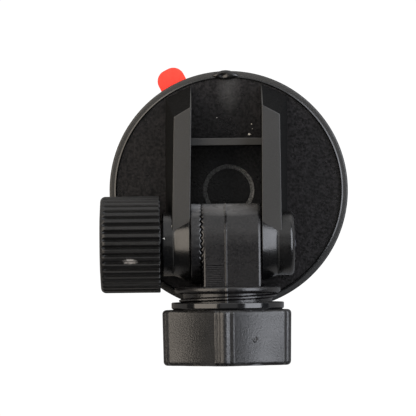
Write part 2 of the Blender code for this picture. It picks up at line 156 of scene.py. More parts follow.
def piece(name, skins, rings, body, nodes, materials, paint=None):
    """Joins skins into one object that rides on a body. A skin is a grid of points whose columns close
    on themselves; the names in rings say which skins close along their rows too."""
    points = []
    faces = []
    count = 0
    for number, grid in enumerate(skins):
        rows, columns = grid.shape[:2]
        index = np.arange(rows * columns).reshape(rows, columns) + count
        last = rows if rings[number] else rows - 1
        this = index[:last]
        that = np.roll(index, -1, 0)[:last]
        faces.append(np.stack([this, np.roll(this, -1, 1), np.roll(that, -1, 1), that], -1).reshape(-1, 4))
        points.append(grid.reshape(-1, 3))
        count += rows * columns
    mesh = bpy.data.meshes.new(name)
    mesh.from_pydata(np.concatenate(points) * MM, [], np.concatenate(faces).tolist())
    shape = bmesh.new()
    shape.from_mesh(mesh)
    bmesh.ops.remove_doubles(shape, verts=shape.verts, dist=1e-7)
    bmesh.ops.recalc_face_normals(shape, faces=shape.faces)
    shape.to_mesh(mesh)
    shape.free()
    for material in materials:
        mesh.materials.append(material)
    mesh.shade_smooth()
    mesh.set_sharp_from_angle(angle=np.radians(38))
    if paint:
        centres = np.empty(len(mesh.polygons) * 3)
        normals = np.empty(len(mesh.polygons) * 3)
        mesh.polygons.foreach_get("center", centres)
        mesh.polygons.foreach_get("normal", normals)
        chosen = paint(centres.reshape(-1, 3) / MM, normals.reshape(-1, 3))
        mesh.polygons.foreach_set("material_index", chosen.astype(np.int32))
    made = bpy.data.objects.new(name, mesh)
    bpy.context.scene.collection.objects.link(made)
    made.modifiers.new("flat_faces_stay_flat", "WEIGHTED_NORMAL").keep_sharp = True
    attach(made, body)
    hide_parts(*nodes)
    return made


def linear(code):
    """An sRGB hex colour as linear red, green, blue and alpha."""
    value = np.array([int(code[i : i + 2], 16) for i in (1, 3, 5)]) / 255
    value = np.where(value <= 0.04045, value / 12.92, ((value + 0.055) / 1.055) ** 2.4)
    return (*value, 1.0)


def add(tree, kind, inputs=None, **settings):
    """A node with its settings, whose inputs are set to a value or linked to another node's output."""
    node = tree.nodes.new(kind)
    for name, value in settings.items():
        setattr(node, name, value)
    for name, value in (inputs or {}).items():
        if isinstance(value, bpy.types.NodeSocket):
            tree.links.new(value, node.inputs[name])
        else:
            node.inputs[name].default_value = value
    return node


def moulded_plastic(name, dark, light, roughness, spread, grain, depth, sheen=0.5, painted_light_patch=None, dust=()):
    """Black moulded plastic. Grain is the size of the tool's texture in mm and depth its height in mm.
    Roughness wanders by the spread over some millimetres and sheen is the specular level. Painted light,
    if given, is the centre and size, in mm, and the colour of a soft pale patch mixed into the colour:
    a painted highlight on the tops of knuckle and detent ring, and a painted reflection on the bracket's
    floor near the gate.
    Dust lists pale specks that lie on the piece, as x, y and radius."""
    material = bpy.data.materials.new(name)
    material.use_nodes = True
    tree = material.node_tree
    tree.nodes.clear()
    place = add(tree, "ShaderNodeTexCoord").outputs["Object"]
    blotch = add(tree, "ShaderNodeTexNoise", {"Vector": place, "Scale": 160.0, "Detail": 3.0})
    pits = add(tree, "ShaderNodeTexNoise", {"Vector": place, "Scale": 1 / (grain * MM), "Detail": 4.0})
    mottle = add(tree, "ShaderNodeMapRange", {
        "Value": pits.outputs["Fac"], "From Min": 0.35, "From Max": 0.65})
    shade = add(tree, "ShaderNodeMix", {"Factor": mottle.outputs["Result"]}, data_type="RGBA")
    shade.inputs[6].default_value = linear(dark)
    shade.inputs[7].default_value = linear(light)
    rough = add(tree, "ShaderNodeMapRange", {
        "Value": blotch.outputs["Fac"], "From Min": 0.3, "From Max": 0.7,
        "To Min": roughness - spread, "To Max": roughness + spread})
    colour = shade.outputs[2]
    rough = rough.outputs["Result"]
    # Painted light: a soft pale patch mixed into the colour, standing in for light that falls there.
    if painted_light_patch:
        centre, size, painted_light_colour = painted_light_patch
        near = add(tree, "ShaderNodeMapping", {
            "Vector": place, "Location": [-c * MM for c in centre]}, vector_type="POINT")
        near = add(tree, "ShaderNodeVectorMath", {
            "Vector": near.outputs["Vector"], 1: [1 / (s * MM) for s in size]}, operation="MULTIPLY")
        patch = add(tree, "ShaderNodeTexGradient", {"Vector": near.outputs["Vector"]},
                    gradient_type="SPHERICAL")
        uneven = add(tree, "ShaderNodeMath", {0: patch.outputs["Fac"], 1: blotch.outputs["Fac"]},
                     operation="MULTIPLY")
        whiter = add(tree, "ShaderNodeMix", {"Factor": uneven.outputs[0]}, data_type="RGBA")
        tree.links.new(colour, whiter.inputs[6])
        whiter.inputs[7].default_value = linear(painted_light_colour)
        colour = whiter.outputs[2]
    for x, y, size in dust:
        plan = add(tree, "ShaderNodeVectorMath", {0: place, 1: (1, 1, 0)}, operation="MULTIPLY")
        away = add(tree, "ShaderNodeVectorMath", {0: plan.outputs["Vector"], 1: (x * MM, y * MM, 0)},
                   operation="DISTANCE")
        near = add(tree, "ShaderNodeMath", {0: away.outputs["Value"], 1: size * MM},
                   operation="LESS_THAN")
        dusty = add(tree, "ShaderNodeMix", {"Factor": near.outputs[0]}, data_type="RGBA")
        tree.links.new(colour, dusty.inputs[6])
        dusty.inputs[7].default_value = linear("#E8E4DC")
        colour = dusty.outputs[2]
    bump = add(tree, "ShaderNodeBump", {
        "Height": pits.outputs["Fac"], "Strength": 1.0, "Distance": depth * MM})
    shader = add(tree, "ShaderNodeBsdfPrincipled", {
        "Base Color": colour, "Roughness": rough, "Specular IOR Level": sheen,
        "Normal": bump.outputs["Normal"]})
    add(tree, "ShaderNodeOutputMaterial", {"Surface": shader.outputs["BSDF"]})
    return material


# Spark-eroded ABS: fine grain that the light picks out as tiny points, and some dust on it. Ground
# ABS: the tool steel's grinding leaves a smooth grey haze. Drafted walls keep the coarsest grain.
# Glossy ABS takes the light in clear streaks. The ring boss's pale grey ABS is a painted highlight,
# standing in for the light its lips catch.
eroded_abs = moulded_plastic(
    "spark_eroded_abs", "#020202", "#242223", 0.30, 0.06, 0.60, 0.08, sheen=0.27,
    # The pale patch on the floor between the webs, below the gate, is a painted reflection of the gate's
    # lump.
    painted_light_patch=((0.3, 25.0, FLOOR), (3.4, 6.5, 4.0), "#545453"),
    dust=((5.3, 14.0, 0.30), (5.9, 16.6, 0.11), (6.1, 15.4, 0.08), (-2.8, 18.3, 0.10)))
ground_abs = moulded_plastic("ground_abs", "#1B1B1A", "#242423", 0.50, 0.03, 0.30, 0.006)
coarse_abs = moulded_plastic("coarse_eroded_abs", "#141414", "#1F1F1F", 0.80, 0.04, 0.45, 0.060,
                             sheen=0.0)
glossy_abs = moulded_plastic("glossy_abs", "#070707", "#111111", 0.25, 0.07, 0.50, 0.022,
                             dust=((-14.1, -8.8, 0.24), (-16.2, -11.9, 0.20)))
painted_highlight_abs = moulded_plastic("ring_boss_painted_highlight", "#70706F", "#B4B4B3", 0.42, 0.05, 0.45, 0.020)

# From the middle of the underside the profile goes out and over the rim, whose inner edge carries a
# thin bead. The floor then falls by the dish to the ring boss, which has a lip along each edge.
BOSS_RING_OUTER = 6.4
BOSS_RING_INNER = 5.5
LIP = 0.10
LIP_SPACING = 0.3
RIM_INNER = DISC_RADIUS - 1.8
BEAD_WIDTH = 0.58
BEAD_RISE = 0.13
DISH = 0.3
disc_profile = rounded(
    [(UNDERSIDE, 0), (UNDERSIDE, DISC_RADIUS), (RIM_TOP, DISC_RADIUS),
     (RIM_TOP, RIM_INNER + BEAD_WIDTH), (RIM_TOP + BEAD_RISE, RIM_INNER + 0.26),
     (RIM_TOP + BEAD_RISE - 0.07, RIM_INNER + 0.10), (FLOOR + DISH, RIM_INNER - 0.02),
     (FLOOR, BOSS_RING_OUTER + LIP), (FLOOR + LIP, BOSS_RING_OUTER),
     (FLOOR + 0.02, BOSS_RING_OUTER - LIP_SPACING), (FLOOR + 0.02, BOSS_RING_INNER + LIP_SPACING),
     (FLOOR + LIP, BOSS_RING_INNER), (FLOOR, BOSS_RING_INNER - LIP), (FLOOR, 0)],
    [0, 0.25, 0.45, 0.05, 0.06, 0.03, 0.02, 0, 0.04, 0, 0, 0.04, 0, 0])
disc = turned(STANDING, disc_profile, 360)

# The gate: a lens-shaped lump on the rim where the runner was cut off, with a scooped middle.
GATE_MIDDLE = np.array([-0.5, 29.0])
GATE_HALF_WIDTH = 3.3
GATE_HALF_DEPTH = 1.2
GATE_RISE = 0.75
share = np.linspace(1, 0, 14)[:, None]
turn = np.linspace(0, 2 * np.pi, 72, endpoint=False)[None]
across = share * np.cos(turn)
up = share * np.sin(turn)
pointed = 1 - 0.35 * across**2
along_the_rim = 0.019 * (GATE_HALF_WIDTH * across) ** 2
scoop = 0.55 * np.exp(-(((across + 0.25) / 0.3) ** 2) - (up + 0.2) ** 2 / 0.3)
lens = np.stack([
    GATE_MIDDLE[0] + GATE_HALF_WIDTH * across,
    GATE_MIDDLE[1] + GATE_HALF_DEPTH * up * pointed - along_the_rim,
    RIM_TOP + GATE_RISE * (1 - share**4) * (1 - scoop),
], -1)
gate = np.concatenate([lens[:1] * (1, 1, 0) + (0, 0, FLOOR), lens])
gate = np.concatenate([np.repeat(gate[0].mean(0)[None, None], 72, 1), gate])

# The webs lean out towards the floor on their outer faces, and their far ends slope to the rim.
WEB_TOP_REACH = 22.6
WEB_FOOT_REACH = 28.0
WEB_TOP_SLANT = 0.07
WEB_LEAN_FAR = 2.2
WEB_LEAN_NEAR = 1.7
WEB_CORNER = 0.30
SUNK = FLOOR - 0.8


def web(inner_near, inner_far, outer_near, outer_far):
    """The plan is a long quadrilateral, given by the X of its corners near the hinge and far from it.
    Its far corners lie on a circle about the disc's centre."""
    side = np.sign(outer_far)
    foot_far = outer_far + side * WEB_LEAN_FAR
    foot_near = outer_near + side * WEB_LEAN_NEAR

    def plan(outer, near, reach):
        corners = [(near, HINGE[1]), (outer, np.sqrt(reach**2 - outer**2)),
                   (inner_far, np.sqrt(reach**2 - inner_far**2)), (inner_near, HINGE[1])]
        outline = rounded(corners, [0, WEB_CORNER, WEB_CORNER, 0], 4)
        return outline[::-1] if side < 0 else outline

    return wall(plan(foot_far, foot_near, WEB_FOOT_REACH), plan(outer_far, outer_near, WEB_TOP_REACH),
                FLOOR - 0.1, WEB_TOP, 0.22, side * WEB_TOP_SLANT)


left_web = web(inner_near=-9.85, inner_far=-9.10, outer_near=-14.30, outer_far=-13.50)
right_web = web(inner_near=8.05, inner_far=8.30, outer_near=13.00, outer_far=12.80)

RIB_TOP = 24.0
RIB_LEFT = -10.3
RIB_RIGHT = 8.9
RIB_NEAR = 11.05
RIB_FAR = 12.9
rib_plan = np.array([
    (RIB_LEFT, RIB_NEAR), (RIB_RIGHT, RIB_NEAR), (RIB_RIGHT, RIB_FAR), (RIB_LEFT, RIB_FAR)])
rib = wall(rib_plan, rib_plan, SUNK, RIB_TOP, 0.20)

# The ears: round bosses that swell by a cone towards the gap, with straight sides down to the floor.
BOSS_RADIUS = 7.9
EAR_RADIUS = 9.3
SHANK_HOLE = 2.8
CONE_SLOPE = np.radians(20)
POCKET_HALF_FLATS = 4.3
turn = np.linspace(0, 2 * np.pi, 240, endpoint=False)


def arch(x, radius):
    """Points about the hinge at that X: half a circle over straight sides that end in the disc."""
    sides = radius / np.abs(np.cos(turn))
    down = (HINGE[2] - SUNK) / np.maximum(-np.sin(turn), 1e-9)
    return around(ABOUT_HINGE, x, np.where(np.sin(turn) >= 0, radius, np.minimum(sides, down)), turn)


def ear(face, end, end_rounding, pocket):
    """Rows run from the face in the gap, along the cone and the boss to its rounded end, and back
    inside to a hexagonal pocket of that depth, if there is one."""
    side = np.sign(end - face)
    cone = (EAR_RADIUS - BOSS_RADIUS) / np.tan(CONE_SLOPE)
    outer = rounded(
        [(0, 4.0), (0, EAR_RADIUS), (cone, BOSS_RADIUS), (abs(end - face), BOSS_RADIUS),
         (abs(end - face), 4.0)],
        [0, 0.20, 2.5, end_rounding, 0], 8)
    rows = [arch(face + side * along, radius) for along, radius in outer[1:-1]]
    rows.insert(0, arch(face, EAR_RADIUS - 1.0))
    if pocket:
        hexagon = POCKET_HALF_FLATS / np.cos((turn % (np.pi / 3)) - np.pi / 6)
        seat = end - side * pocket
        rows += [around(ABOUT_HINGE, end, hexagon + 0.15, turn),
                 around(ABOUT_HINGE, end - side * 0.15, hexagon, turn),
                 around(ABOUT_HINGE, seat, hexagon, turn),
                 around(ABOUT_HINGE, seat, SHANK_HOLE + 0 * turn, turn)]
    else:
        rows += [around(ABOUT_HINGE, end, SHANK_HOLE + 0 * turn, turn)]
    rows += [around(ABOUT_HINGE, face, SHANK_HOLE + 0 * turn, turn)]
    return np.array(rows)


GAP_LEFT = -9.8
GAP_RIGHT = 8.0
BOSS_LEFT = -16.75
BOSS_RIGHT = 16.1
left_ear = ear(GAP_LEFT, BOSS_LEFT, end_rounding=0.45, pocket=0)
right_ear = ear(GAP_RIGHT, BOSS_RIGHT, end_rounding=1.2, pocket=3.4)


def bracket_finish(centres, normals):
    """Tops of rim, rib and webs are ground. The ring boss is painted pale grey, a painted highlight.
    The webs' drafted walls are coarse but for their worn inner corners. Ears, gate and the rim's bead
    are glossy, and the floor is spark-eroded."""
    out = np.hypot(centres[:, 0], centres[:, 1])
    height = centres[:, 2]
    about = np.hypot(centres[:, 1] - HINGE[1], height - HINGE[2])
    ears = (about < EAR_RADIUS + 0.1) & (centres[:, 1] < HINGE[1] + EAR_RADIUS) & (
        (np.abs(normals[:, 0]) > 0.10) | (centres[:, 0] < -14.6) | (centres[:, 0] > 13.1))
    bead = (out > RIM_INNER) & (out < RIM_INNER + BEAD_WIDTH) & (height > RIM_TOP) & (
        height < RIM_TOP + BEAD_RISE + 0.01)
    low = (out > RIM_INNER - 0.2) | (out < BOSS_RING_OUTER + 0.3)
    tops = (normals[:, 2] > 0.35) & ((height > RIB_TOP - 0.3) | (low & (height > FLOOR + 0.02)))
    walls = (normals[:, 2] < 0.5) & (height > FLOOR) & (height < WEB_TOP - 0.1) & (
        out < RIM_INNER) & (about > EAR_RADIUS + 0.5)
    worn = walls & (normals[:, 0] * np.sign(centres[:, 0]) < -0.1) & (normals[:, 1] > 0.25)
    # The ring boss gets the pale grey: a painted highlight.
    ring = (out < BOSS_RING_OUTER + 0.2) & (out > BOSS_RING_INNER - 0.2) & (
        height > FLOOR + 0.005) & (height < FLOOR + 0.2)
    gate_top = (height > RIM_TOP + 0.02) & (out > RIM_INNER - 0.3) & (
        np.abs(centres[:, 0] - GATE_MIDDLE[0]) < GATE_HALF_WIDTH) & (centres[:, 1] > 0)
    return np.select([ring, ears | bead | gate_top, tops | worn, walls], [4, 3, 1, 2], 0)


piece("bracket_moulding", [disc, gate, left_web, right_web, rib, left_ear, right_ear],
      [False] * 5 + [True] * 2, "base", ["base_bracket"],
      [eroded_abs, ground_abs, coarse_abs, glossy_abs, painted_highlight_abs], bracket_finish)

# ---------------------------------------------------------------------------------------------------
# Foam tape pad. A die-cut disc of black closed-cell acrylic foam, stuck to the disc's underside.
foam_low, foam_high = (np.array(corner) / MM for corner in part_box("foam_tape_pad"))
FOAM_INTO_DISC = 0.28
foam_top = foam_high[2] + FOAM_INTO_DISC
foam_profile = rounded([(foam_low[2], 0), (foam_low[2], foam_high[0]), (foam_top, foam_high[0]),
                        (foam_top, 0)], [0, 0.12, 0.12, 0], 3)
acrylic_foam = moulded_plastic("acrylic_foam", "#0A0A0A", "#1E1E1E", 0.92, 0.03, 0.16, 0.060)
piece("foam_tape", [turned(STANDING, foam_profile, 240)], [False], "base",
      ["foam_tape_pad"], [acrylic_foam])

# ---------------------------------------------------------------------------------------------------
# Release liner. A red polyethylene film, die-cut with a rounded pull tongue; the tongue springs up a
# little from the glass.
LINER_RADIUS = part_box("release_liner")[1][0] / MM
FILM = 0.12
TONGUE_TURN = np.radians(117)
TONGUE_HALF = 3.5
TONGUE_REACH = 34.2
TONGUE_ROOT = 20
TONGUE_CORNER = 2.9
TONGUE_LIFT = 0.16
root = np.arcsin(TONGUE_HALF / LINER_RADIUS)
sweep = np.linspace(root, 2 * np.pi - root, 200)[:, None]
edge = np.hstack([LINER_RADIUS * np.cos(sweep), LINER_RADIUS * np.sin(sweep)])
tongue = rounded([(TONGUE_ROOT, -TONGUE_HALF), (TONGUE_REACH, -TONGUE_HALF),
                  (TONGUE_REACH, TONGUE_HALF), (TONGUE_ROOT, TONGUE_HALF)],
                 [0, TONGUE_CORNER, TONGUE_CORNER, 0], 12)[1:-1]
outline = np.vstack([edge, tongue])
grid = []
for height, share in ((0.02, 0.0), (0.02, 0.9), (0.02, 1.0), (FILM, 1.0), (FILM, 0.9), (FILM, 0.0)):
    flat = outline * share
    lift = TONGUE_LIFT * np.clip((flat[:, 0] - LINER_RADIUS) / 5, 0, 1) ** 1.5
    grid.append(np.column_stack([
        flat[:, 0] * np.cos(TONGUE_TURN) - flat[:, 1] * np.sin(TONGUE_TURN),
        flat[:, 0] * np.sin(TONGUE_TURN) + flat[:, 1] * np.cos(TONGUE_TURN),
        height + lift]))


def release_film():
    """Dyed film: a flat warm red with a waxy sheen, faintly mottled where it left the tape."""
    material = bpy.data.materials.new("red_release_film")
    material.use_nodes = True
    tree = material.node_tree
    tree.nodes.clear()
    place = add(tree, "ShaderNodeTexCoord").outputs["Object"]
    mottle = add(tree, "ShaderNodeTexNoise", {"Vector": place, "Scale": 700.0, "Detail": 3.0})
    tint = add(tree, "ShaderNodeMix", {"Factor": mottle.outputs["Fac"]}, data_type="RGBA")
    tint.inputs[6].default_value = linear("#FF3222")
    tint.inputs[7].default_value = linear("#FF4231")
    ripple = add(tree, "ShaderNodeBump", {
        "Height": mottle.outputs["Fac"], "Strength": 0.5, "Distance": 0.010 * MM})
    shader = add(tree, "ShaderNodeBsdfPrincipled", {
        "Base Color": tint.outputs[2], "Roughness": 0.48, "IOR": 1.50,
        "Normal": ripple.outputs["Normal"]})
    add(tree, "ShaderNodeOutputMaterial", {"Surface": shader.outputs["BSDF"]})
    return material


piece("liner_film", [np.array(grid)], [False], "base", ["release_liner"],
      [release_film()])

# ---------------------------------------------------------------------------------------------------
# Detent ring. Moulded in acetal, with forty radial teeth on its face and two keys on its back that
# slide in slots of the left ear.
BARREL = 10.0
TEETH = 40
TOOTH_HEIGHT = 0.42
TOOTH_INNER = 6.8
TOOTH_EDGE = 0.24
RING_BACK = -9.58
RING_VALLEY = -7.41
tooth_turn = np.linspace(0, 2 * np.pi, TEETH * 12, endpoint=False)


def teeth(start):
    """A V wave of unit height about the hinge, with its tips and roots a little rounded."""
    phase = tooth_turn * TEETH / (2 * np.pi) + start
    wave = np.abs((phase % 1.0) * 2 - 1)
    return 0.04 + 0.92 * wave + 0.04 * np.cos(2 * np.pi * phase)


def toothed(valley, facing, back, inner, start):
    """Rows of a ring that closes on itself: bore, back, outer edge, toothed face, hollow."""
    crest = valley + facing * TOOTH_HEIGHT * teeth(start)
    hollow = valley - facing * 0.5
    chamfer = 0.15
    rows = [
        around(ABOUT_HINGE, back, inner, tooth_turn),
        around(ABOUT_HINGE, back, BARREL - chamfer, tooth_turn),
        around(ABOUT_HINGE, back + facing * chamfer, BARREL, tooth_turn),
        around(ABOUT_HINGE, crest - facing * TOOTH_EDGE, BARREL, tooth_turn),
        around(ABOUT_HINGE, crest - facing * TOOTH_EDGE / 2, BARREL - TOOTH_EDGE / 6, tooth_turn),
        around(ABOUT_HINGE, crest, BARREL - TOOTH_EDGE / 2, tooth_turn),
        around(ABOUT_HINGE, crest, TOOTH_INNER, tooth_turn),
        around(ABOUT_HINGE, hollow, TOOTH_INNER - 0.3, tooth_turn),
        around(ABOUT_HINGE, hollow, inner, tooth_turn),
    ]
    return np.array(rows)


KEY_HALF_WIDTH = 1.3
KEY_END = -11.45
KEY_ROOT = -9.2
KEY_INNER = 4.4
KEY_OUTER = 7.0
keys = []
for side in (-1, 1):
    plan = rounded([(KEY_END, -KEY_HALF_WIDTH), (KEY_ROOT, -KEY_HALF_WIDTH),
                    (KEY_ROOT, KEY_HALF_WIDTH), (KEY_END, KEY_HALF_WIDTH)], [0.3, 0, 0, 0.3], 4)
    block = wall(plan, plan, KEY_INNER, KEY_OUTER, 0.2)
    keys.append(np.stack([block[..., 0], HINGE[1] + block[..., 1], HINGE[2] + side * block[..., 2]], -1))
# The pale patch on the ring's top, towards +Y, is a painted highlight standing in for light from behind.
acetal = moulded_plastic("moulded_acetal", "#08080A", "#19191A", 0.28, 0.04, 0.40, 0.030,
                         painted_light_patch=((-8.5, HINGE[1] + 9.6, HINGE[2] + 2.5), (8, 3.6, 9), "#969696"))
piece("detent_gear_ring", [toothed(RING_VALLEY, 1, RING_BACK, SHANK_HOLE, 0.5), *keys],
      [True, False, False], "detent", ["detent_ring"], [acetal])

# ---------------------------------------------------------------------------------------------------
# Tilt knuckle. Glass-filled nylon in one shot: a barrel and flat neck that turn between the ears, a
# flange, a threaded collar, and a ball cup split into four fingers. The tool's halves meet along its
# front and its back, and leave a thin standing line there.
SLACK = 0.04
KNUCKLE_LEFT = RING_VALLEY + 2 * TOOTH_HEIGHT + SLACK
KNUCKLE_RIGHT = GAP_RIGHT - 0.3
NECK_X = joints["nut_turn"]["pos_m"][0] / MM
ABOUT_NECK = np.array([(NECK_X, HINGE[1], HINGE[2]), (0, -1, 0), (0, 0, 1), (1, 0, 0)], float)
FLANGE_START = 10.5
NECK_HALF = 9.6
PARTING_X = -0.93

corner = np.hypot(FLANGE_START, NECK_HALF)
tangent = np.arctan2(NECK_HALF, FLANGE_START) + np.arccos(BARREL / corner)
sweep = np.linspace(tangent, 2 * np.pi - tangent, 150)
curve = np.stack([BARREL * np.cos(sweep), BARREL * np.sin(sweep)], 1)
slope = np.linspace(0, 1, 24, endpoint=False)[:, None]
upper = (1 - slope) * (FLANGE_START + 0.4, NECK_HALF) + slope * curve[0]
lower = ((1 - slope) * (FLANGE_START + 0.4, -NECK_HALF) + slope * curve[-1])[::-1]
side_view = np.vstack([upper, curve, lower])
side_normal = outward(side_view)
# Along the hinge the outline is drawn in at both edges. Between them it swells by the seam's flash.
FLASH_HEIGHT = 0.24
FLASH_HALF_WIDTH = 0.15
beside_seam = np.linspace(-0.45, 0.45, 19)
stations = np.concatenate([
    KNUCKLE_LEFT + 0.08 + np.array([0, 0.02, 0.16, 0.36, 0.50]),
    PARTING_X + beside_seam,
    KNUCKLE_RIGHT - np.array([0.75, 0.55, 0.35, 0.15, 0.03, 0.0])])
sunk = np.concatenate([
    np.array([0.20, 0.16, 0.09, 0.02, 0.0]),
    -FLASH_HEIGHT * np.exp(-((beside_seam / FLASH_HALF_WIDTH) ** 2)),
    np.array([0.0, 0.04, 0.12, 0.24, 0.34, 0.42])])
rows = []
for x, inset in zip(stations, sunk):
    ring = side_view - side_normal * inset
    rows.append(np.column_stack([np.full(len(ring), x), HINGE[1] - ring[:, 0], HINGE[2] + ring[:, 1]]))
bore_turn = np.arctan2(side_view[:, 1], -side_view[:, 0])
for x in (KNUCKLE_RIGHT, KNUCKLE_LEFT + 0.08):
    rows.append(around(ABOUT_HINGE, x, SHANK_HOLE, bore_turn))
barrel = np.array(rows)
mating_teeth = toothed(KNUCKLE_LEFT, -1, KNUCKLE_LEFT + 0.6, TOOTH_INNER - 0.35, 0.0)[:7]

# Flange and thread. The thread is a true helix, cut short where it runs into the flange.
FLANGE_RADIUS = 13.2
FLANGE_END = 12.2
THREAD_ROOT = 11.1
THREAD_CREST = 12.1
THREAD_PITCH = 2.5
THREAD_CENTRE = 13.45
CUP_FLOOR = 17.6
turn = np.linspace(0, 2 * np.pi, 300, endpoint=False)[None]
flange = rounded([(FLANGE_START, 0), (FLANGE_START, FLANGE_RADIUS), (FLANGE_END, FLANGE_RADIUS),
                  (FLANGE_END, THREAD_ROOT), (CUP_FLOOR, THREAD_ROOT)], [0, 0.75, 0.75, 0.12, 0], 9)
thread_length = np.linspace(FLANGE_END + 0.15, CUP_FLOOR, 90)[:, None]
phase = (thread_length - THREAD_CENTRE + THREAD_PITCH * (turn + np.pi) / (2 * np.pi) - THREAD_PITCH / 2)
phase = (phase / THREAD_PITCH + 0.5) % 1.0 - 0.5
# The crest takes about a seventh of the pitch and the root a little over half of it.
crest = np.clip(1.45 - np.abs(phase) * 6.5, 0, 1)
crest = crest * crest * (3 - 2 * crest)
thread = THREAD_ROOT + (THREAD_CREST - THREAD_ROOT) * crest
SEAM_RISE = 0.20
SEAM_HALF_WIDTH = 0.17
seam = np.arcsin((PARTING_X - NECK_X) / FLANGE_RADIUS)
ridge = np.exp(-((FLANGE_RADIUS * np.sin(turn - seam) / SEAM_HALF_WIDTH) ** 2)) * SEAM_RISE
BALL_CENTRE = 22.5
CUP_RADIUS = 8.65
inner = np.linspace(np.arcsin((CUP_FLOOR - BALL_CENTRE) / CUP_RADIUS), -np.pi / 2, 12)
cup = np.stack([BALL_CENTRE + CUP_RADIUS * np.sin(inner), np.maximum(CUP_RADIUS * np.cos(inner), 0)], 1)
lengths = np.concatenate([flange[:-1, :1] + 0 * turn, thread_length + 0 * turn, cup[:, :1] + 0 * turn])
radii = np.concatenate([
    flange[:-1, 1:] + ridge * (flange[:-1, 1:] > 0), thread + ridge, cup[:, 1:] + 0 * turn])
collar = around(ABOUT_NECK, lengths, radii, turn)

# The four fingers of the cup, each a curved wall between two saw cuts.
FINGER_TIP = 27.0
FINGER_START = 20.5
TIP_RADIUS = 9.6
mouth = np.arcsin((FINGER_TIP - BALL_CENTRE) / CUP_RADIUS)
inside = np.linspace(mouth, np.arcsin((CUP_FLOOR - 0.4 - BALL_CENTRE) / CUP_RADIUS), 18)
wall_profile = np.vstack([
    [(CUP_FLOOR - 0.4, THREAD_ROOT - 0.1), (FINGER_START, THREAD_ROOT)],
    rounded([(FINGER_START + 0.1, THREAD_ROOT), (FINGER_TIP, TIP_RADIUS),
             (FINGER_TIP, CUP_RADIUS * np.cos(mouth))], [0, 0.3, 0], 4)[:-1],
    np.stack([BALL_CENTRE + CUP_RADIUS * np.sin(inside), CUP_RADIUS * np.cos(inside)], 1)])
SLOT_HALF = 0.8
fingers = []
for number in range(4):
    share = np.linspace(-1, 1, 20)[:, None]
    gap = np.arcsin(SLOT_HALF / wall_profile[None, :, 1])
    finger_turn = number * np.pi / 2 + share * (np.pi / 4 - gap)
    grid = around(ABOUT_NECK, wall_profile[None, :, 0], wall_profile[None, :, 1], finger_turn)
    ends = [np.repeat(grid[end].mean(0)[None, None], grid.shape[1], 1) for end in (0, -1)]
    fingers.append(np.concatenate([ends[0], grid, ends[1]]))

# The tool insert's outline on the front of the neck: a hair's breadth proud, with milling marks.
MARK_LEFT = -5.9
MARK_RIGHT = -1.45
MARK_START = 4.9
MARK_END = 10.4
MILLING_STEP = 0.46
along = np.linspace(MARK_START, MARK_END, 90)[:, None]
width = np.linspace(0, 1, 12)[None]
front = np.interp(along, upper[::-1, 0], upper[::-1, 1])
wave = 0.022 * np.sin(2 * np.pi * along / MILLING_STEP) * np.sin(np.pi * width) ** 0.3
proud = 0.030 + wave + 0.05 * np.exp(-(((along - 5.0) / 0.14) ** 2))
top = np.stack([MARK_LEFT + (MARK_RIGHT - MARK_LEFT) * width + 0 * along,
                HINGE[1] - along + 0 * width, HINGE[2] + front + proud], -1)
under = top[:, ::-1] - (0, 0, 0.2)
mark = np.concatenate([top, under], 1)
ends = [np.repeat(mark[end].mean(0)[None, None], mark.shape[1], 1) for end in (0, -1)]
mark = np.concatenate([ends[0], mark, ends[1]])

# The pale patch on the top of barrel and neck, towards +Y, is a painted highlight standing in for light
# from behind.
filled_nylon = moulded_plastic(
    "glass_filled_nylon", "#050506", "#1B1A1B", 0.28, 0.06, 0.45, 0.045, sheen=0.44,
    painted_light_patch=((-0.5, HINGE[1] + 9.8, HINGE[2] + 2.5), (15, 3.6, 9), "#969696"))
piece("knuckle_moulding", [barrel, mating_teeth, collar, *fingers, mark],
      [True] * 2 + [False] * 6, "knuckle",
      ["tilt_knuckle"], [filled_nylon])

# ---------------------------------------------------------------------------------------------------
# Collar nut. Nylon: a polished round collar over a fine-textured body with five grip ridges, and a
# lip round its mouth that closes the fingers on the ball.
NUT_NECK = 14.0
NUT_NECK_START = 14.5
NUT_BODY_START = 16.3
NUT_END = 30.1
RIDGE_RADIUS = 16.75
HOLLOW_RADIUS = 13.6
HOLLOW_CENTRE = 50.0
RIDGES = 5
RIDGE_ROUND = 1.75
FIRST_RIDGE = np.radians(-3.5)
turn = np.linspace(0, 2 * np.pi, 540, endpoint=False)[None]
lobe = 2 * np.pi / RIDGES
off = np.abs((turn - FIRST_RIDGE + lobe / 2) % lobe - lobe / 2)


def nut_outline():
    """Ridges are round, and between each two the outline follows a shallow hollow arc."""
    ridge_centre = RIDGE_RADIUS - RIDGE_ROUND
    aside = ridge_centre * np.sin(off)
    ridge = ridge_centre * np.cos(off) + np.sqrt(np.maximum(RIDGE_ROUND**2 - aside**2, 0))
    arc = HOLLOW_CENTRE - HOLLOW_RADIUS
    to_middle = lobe / 2 - off
    hollow = HOLLOW_CENTRE * np.cos(to_middle) - np.sqrt(
        arc**2 - (HOLLOW_CENTRE * np.sin(to_middle)) ** 2)
    return np.maximum(np.minimum(hollow, RIDGE_RADIUS - 0.55), np.where(aside < RIDGE_ROUND, ridge, 0))


body_outline = nut_outline()
quarter = np.linspace(0, np.pi / 2, 8)
EDGE = 1.0
NECK_EDGE = 0.25
NECK_TAPER = 0.75
NUT_DRAFT = 0.016
